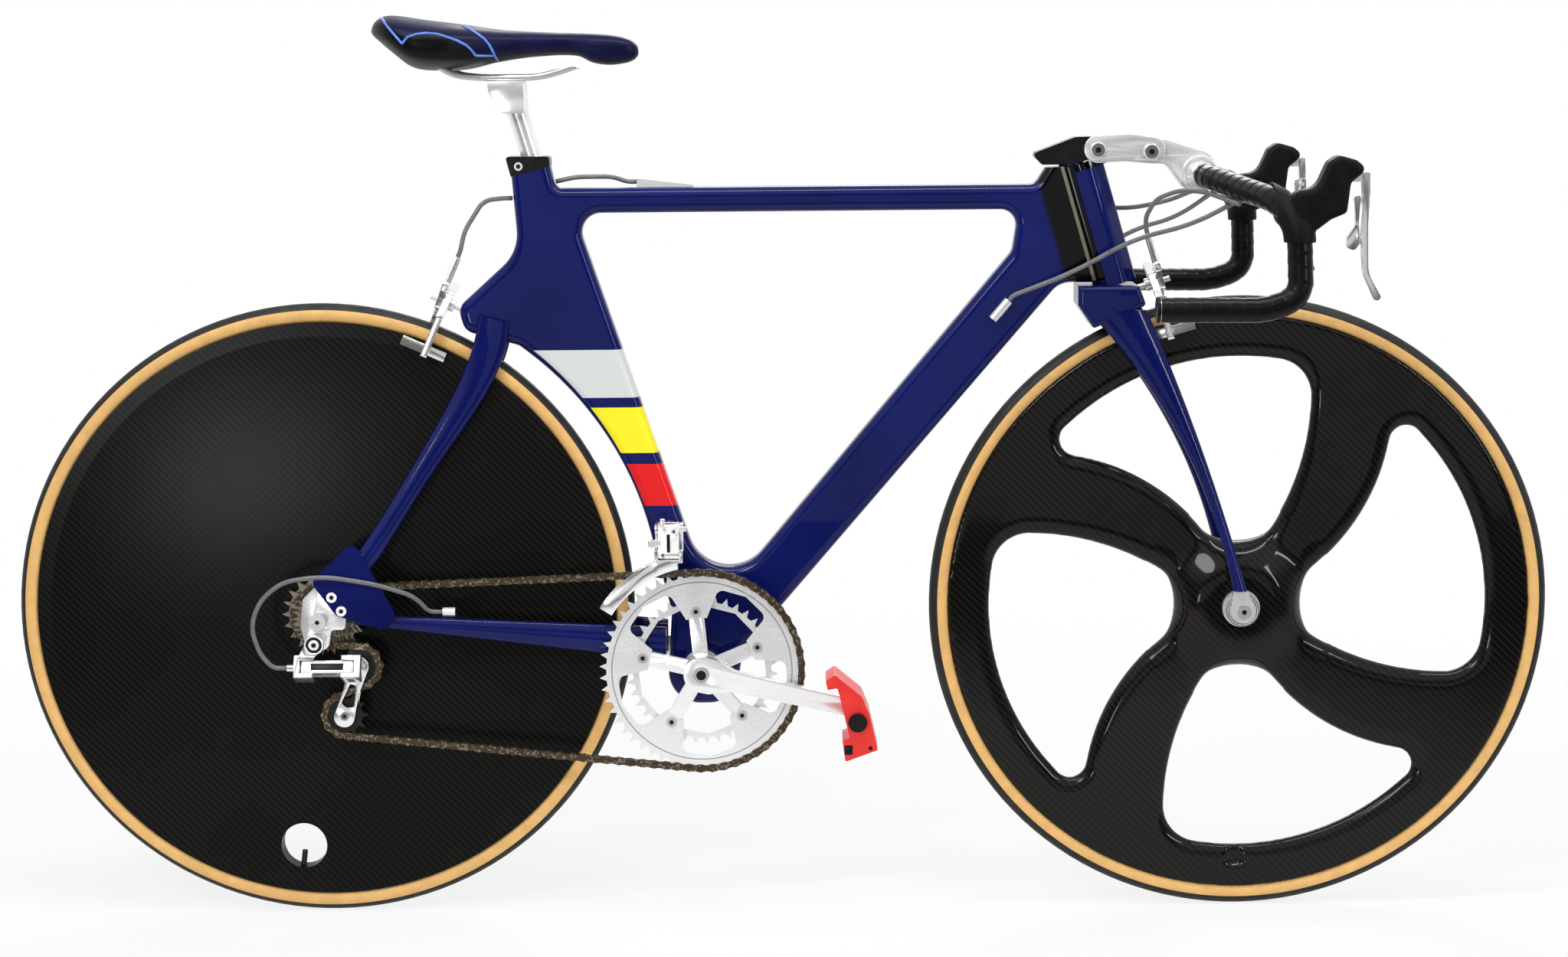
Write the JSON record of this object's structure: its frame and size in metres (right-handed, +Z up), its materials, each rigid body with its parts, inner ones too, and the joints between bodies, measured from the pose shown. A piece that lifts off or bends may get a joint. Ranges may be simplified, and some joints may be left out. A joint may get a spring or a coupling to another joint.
{
  "type": "time trial bicycle",
  "caption": "Time trial racing bicycle with a one-piece aero frame, disc rear wheel, bladed front wheel, drop bars with brake and shift levers, chain drive and derailleurs.",
  "frame": {"origin": "ground point midway between the axles, on the bike's middle plane", "axes": "+X forward, +Y to the rider's left, +Z up"},
  "size_m": [1.6549, 0.4518, 0.976],
  "materials": {
    "frame_paint": "gloss painted carbon",
    "black_anodised": "satin black",
    "silver": "polished",
    "steel": "bright",
    "chain_steel": "oily brown",
    "wheel_carbon": "carbon weave",
    "tyre_rubber": "black tread with a tan sidewall band",
    "saddle_leather": "dark blue",
    "tape": "black",
    "hood_rubber": "black",
    "housing": "grey",
    "pedal_red": "red",
    "pulley_black": "black"
  },
  "bodies": {
    "frame": {"main_frame": "frame_paint", "seat_stays": "frame_paint", "chain_stays": "frame_paint", "dropouts": "silver", "frame_fittings": "silver", "seat_collar": "black_anodised", "bottom_bracket_cups": "steel", "front_derailleur_bracket": "silver", "rear_axle": "steel", "rear_housings": "housing", "steering_housings": "housing", "chain": "chain_steel"},
    "seat": {"seatpost": "silver", "seatpost_clamp": "silver", "saddle_rails": "steel", "saddle": "saddle_leather"},
    "fork": {"fork": "frame_paint", "fork_tips": "silver", "fork_fasteners": "steel", "stem_base": "black_anodised", "front_brake_housing": "housing"},
    "stem": {"stem_link": "silver"},
    "bars": {"bar_clamp": "silver", "handlebar": "silver", "bar_tape": "tape", "brake_hoods": "hood_rubber"},
    "right_carrier": {"right_lever_carrier": "silver"},
    "right_blade": {"right_brake_blade": "silver"},
    "right_paddle": {"right_shift_paddle": "silver"},
    "left_carrier": {"left_lever_carrier": "silver"},
    "left_blade": {"left_brake_blade": "silver"},
    "left_paddle": {"left_shift_paddle": "silver"},
    "front_arm_right": {"front_brake_arm_right": "silver"},
    "front_arm_left": {"front_brake_arm_left": "silver"},
    "rear_arm_right": {"rear_brake_arm_right": "silver"},
    "rear_arm_left": {"rear_brake_arm_left": "silver"},
    "front_wheel_set": {"front_wheel": "wheel_carbon", "front_tyre": "tyre_rubber", "front_hub": "silver"},
    "rear_wheel_set": {"rear_disc": "wheel_carbon", "rear_tyre": "tyre_rubber", "rear_hub": "silver"},
    "cassette_set": {"cassette": "steel"},
    "crankset": {"right_crank": "silver", "left_crank": "silver", "crank_fasteners": "steel", "outer_chainring": "silver", "inner_chainring": "silver", "pedal_axles": "steel"},
    "right_pedal_set": {"right_pedal": "pedal_red"},
    "left_pedal_set": {"left_pedal": "pedal_red"},
    "rd_upper": {"rd_upper_knuckle": "silver"},
    "rd_outer": {"rd_outer_link": "silver"},
    "rd_inner": {"rd_inner_link": "silver"},
    "rd_lower": {"rd_lower_knuckle": "silver"},
    "rd_cage_set": {"rd_cage": "silver"},
    "rd_guide": {"rd_guide_pulley": "pulley_black"},
    "rd_tension": {"rd_tension_pulley": "pulley_black"},
    "fd_link": {"front_derailleur_link": "silver"},
    "fd_cage": {"front_derailleur_cage": "silver"}
  },
  "joints": [
    {"name": "steering", "type": "hinge", "parent": "frame", "child": "fork", "pos_m": [0.34841, 0, 0.684], "axis": [-0.2756, 0, 0.9613], "range_deg": [-27, 27], "deforming": ["steering_housings"]},
    {"name": "seatpost_slide", "type": "slide", "parent": "frame", "child": "seat", "axis": [-0.2924, 0, 0.9563], "range_m": [-0.025, 0.03]},
    {"name": "stem_lower_pivot", "type": "hinge", "parent": "fork", "child": "stem", "pos_m": [0.3394, 0, 0.82498], "axis": [0, 1, 0], "range_deg": [-10, 12], "deforming": ["front_brake_housing"]},
    {"name": "stem_upper_pivot", "type": "hinge", "parent": "stem", "child": "bars", "pos_m": [0.3959, 0, 0.82268], "axis": [0, 1, 0], "range_deg": [-12, 12]},
    {"name": "front_wheel_spin", "type": "hinge", "parent": "fork", "child": "front_wheel_set", "pos_m": [0.4935, 0, 0.334], "axis": [0, 1, 0], "continuous": true},
    {"name": "rear_wheel_spin", "type": "hinge", "parent": "frame", "child": "rear_wheel_set", "pos_m": [-0.4935, 0, 0.334], "axis": [0, 1, 0], "continuous": true},
    {"name": "crank_spin", "type": "hinge", "parent": "frame", "child": "crankset", "pos_m": [-0.08619, 0, 0.272], "axis": [0, 1, 0], "continuous": true, "deforming": ["chain"]},
    {"name": "cassette_spin", "type": "hinge", "parent": "frame", "child": "cassette_set", "pos_m": [-0.4935, 0, 0.334], "axis": [0, 1, 0], "continuous": true},
    {"name": "right_pedal_spin", "type": "hinge", "parent": "crankset", "child": "right_pedal_set", "pos_m": [0.07952, -0.11, 0.23405], "axis": [0, 1, 0], "continuous": true},
    {"name": "left_pedal_spin", "type": "hinge", "parent": "crankset", "child": "left_pedal_set", "pos_m": [-0.2519, 0.11, 0.30995], "axis": [0, 1, 0], "continuous": true},
    {"name": "right_brake_pull", "type": "hinge", "parent": "bars", "child": "right_carrier", "pos_m": [0.58224, -0.205, 0.80812], "axis": [0, 1, 0], "range_deg": [0, 12], "stiffness_Nm_per_rad": 1},
    {"name": "right_blade_shift", "type": "hinge", "parent": "right_carrier", "child": "right_blade", "pos_m": [0.58584, -0.205, 0.80262], "axis": [1, 0, 0], "range_deg": [0, 18], "stiffness_Nm_per_rad": 0.5},
    {"name": "right_paddle_shift", "type": "hinge", "parent": "right_blade", "child": "right_paddle", "pos_m": [0.58804, -0.1955, 0.77842], "axis": [1, 0, 0], "range_deg": [0, 15], "stiffness_Nm_per_rad": 0.2},
    {"name": "left_brake_pull", "type": "hinge", "parent": "bars", "child": "left_carrier", "pos_m": [0.58224, 0.205, 0.80812], "axis": [0, 1, 0], "range_deg": [0, 12], "stiffness_Nm_per_rad": 1},
    {"name": "left_blade_shift", "type": "hinge", "parent": "left_carrier", "child": "left_blade", "pos_m": [0.58584, 0.205, 0.80262], "axis": [-1, 0, 0], "range_deg": [0, 18], "stiffness_Nm_per_rad": 0.5},
    {"name": "left_paddle_shift", "type": "hinge", "parent": "left_blade", "child": "left_paddle", "pos_m": [0.58804, 0.1955, 0.77842], "axis": [-1, 0, 0], "range_deg": [0, 15], "stiffness_Nm_per_rad": 0.2},
    {"name": "front_arm_right_swing", "type": "hinge", "parent": "fork", "child": "front_arm_right", "pos_m": [0.39246, 0, 0.67953], "axis": [0.9598, 0, 0.2807], "range_deg": [0, 2]},
    {"name": "front_arm_left_swing", "type": "hinge", "parent": "fork", "child": "front_arm_left", "pos_m": [0.39246, 0, 0.67953], "axis": [0.9598, 0, 0.2807], "range_deg": [-2, 0]},
    {"name": "rear_arm_right_swing", "type": "hinge", "parent": "frame", "child": "rear_arm_right", "pos_m": [-0.34822, 0, 0.66339], "axis": [0.915, 0, -0.4035], "range_deg": [0, 2]},
    {"name": "rear_arm_left_swing", "type": "hinge", "parent": "frame", "child": "rear_arm_left", "pos_m": [-0.34822, 0, 0.66339], "axis": [0.915, 0, -0.4035], "range_deg": [-2, 0]},
    {"name": "rd_hanger_pivot", "type": "hinge", "parent": "frame", "child": "rd_upper", "pos_m": [-0.4971, -0.075, 0.3105], "axis": [0, 1, 0], "range_deg": [0, 25], "stiffness_Nm_per_rad": 3, "deforming": ["rear_housings"]},
    {"name": "rd_outer_swing", "type": "hinge", "parent": "rd_upper", "child": "rd_outer", "pos_m": [-0.5061, -0.079, 0.285], "axis": [0, 0.454, 0.891], "range_deg": [-21, 29]},
    {"name": "rd_inner_swing", "type": "hinge", "parent": "rd_upper", "child": "rd_inner", "pos_m": [-0.5061, -0.07098, 0.28091], "axis": [0, 0.454, 0.891], "range_deg": [-21, 29]},
    {"name": "rd_lower_swing", "type": "hinge", "parent": "rd_outer", "child": "rd_lower", "pos_m": [-0.4621, -0.079, 0.285], "axis": [0, 0.454, 0.891], "range_deg": [-29, 21]},
    {"name": "rd_cage_pivot", "type": "hinge", "parent": "rd_lower", "child": "rd_cage_set", "pos_m": [-0.455, -0.056, 0.28], "axis": [0, 1, 0], "range_deg": [-20, 20], "stiffness_Nm_per_rad": 1.5},
    {"name": "rd_guide_spin", "type": "hinge", "parent": "rd_cage_set", "child": "rd_guide", "pos_m": [-0.455, -0.0462, 0.28], "axis": [0, 1, 0], "continuous": true},
    {"name": "rd_tension_spin", "type": "hinge", "parent": "rd_cage_set", "child": "rd_tension", "pos_m": [-0.47109, -0.0462, 0.22657], "axis": [0, 1, 0], "continuous": true},
    {"name": "fd_link_swing", "type": "hinge", "parent": "frame", "child": "fd_link", "pos_m": [-0.12019, -0.0322, 0.425], "axis": [1, 0, 0], "range_deg": [0, 14]},
    {"name": "fd_cage_swing", "type": "hinge", "parent": "fd_link", "child": "fd_cage", "pos_m": [-0.12019, -0.0462, 0.399], "axis": [1, 0, 0], "range_deg": [-14, 0]}
  ],
  "couplings": [
    {"joint": "cassette_spin", "follows": "crank_spin", "ratio": 3.5333},
    {"joint": "rd_guide_spin", "follows": "crank_spin", "ratio": -4.8182},
    {"joint": "rd_tension_spin", "follows": "crank_spin", "ratio": 4.8182},
    {"joint": "rear_arm_right_swing", "follows": "right_brake_pull", "ratio": 0.1666},
    {"joint": "rear_arm_left_swing", "follows": "right_brake_pull", "ratio": -0.1666},
    {"joint": "front_arm_right_swing", "follows": "left_brake_pull", "ratio": 0.1666},
    {"joint": "front_arm_left_swing", "follows": "left_brake_pull", "ratio": -0.1666},
    {"joint": "rd_inner_swing", "follows": "rd_outer_swing", "ratio": 1},
    {"joint": "rd_lower_swing", "follows": "rd_outer_swing", "ratio": -1},
    {"joint": "fd_cage_swing", "follows": "fd_link_swing", "ratio": -1}
  ]
}
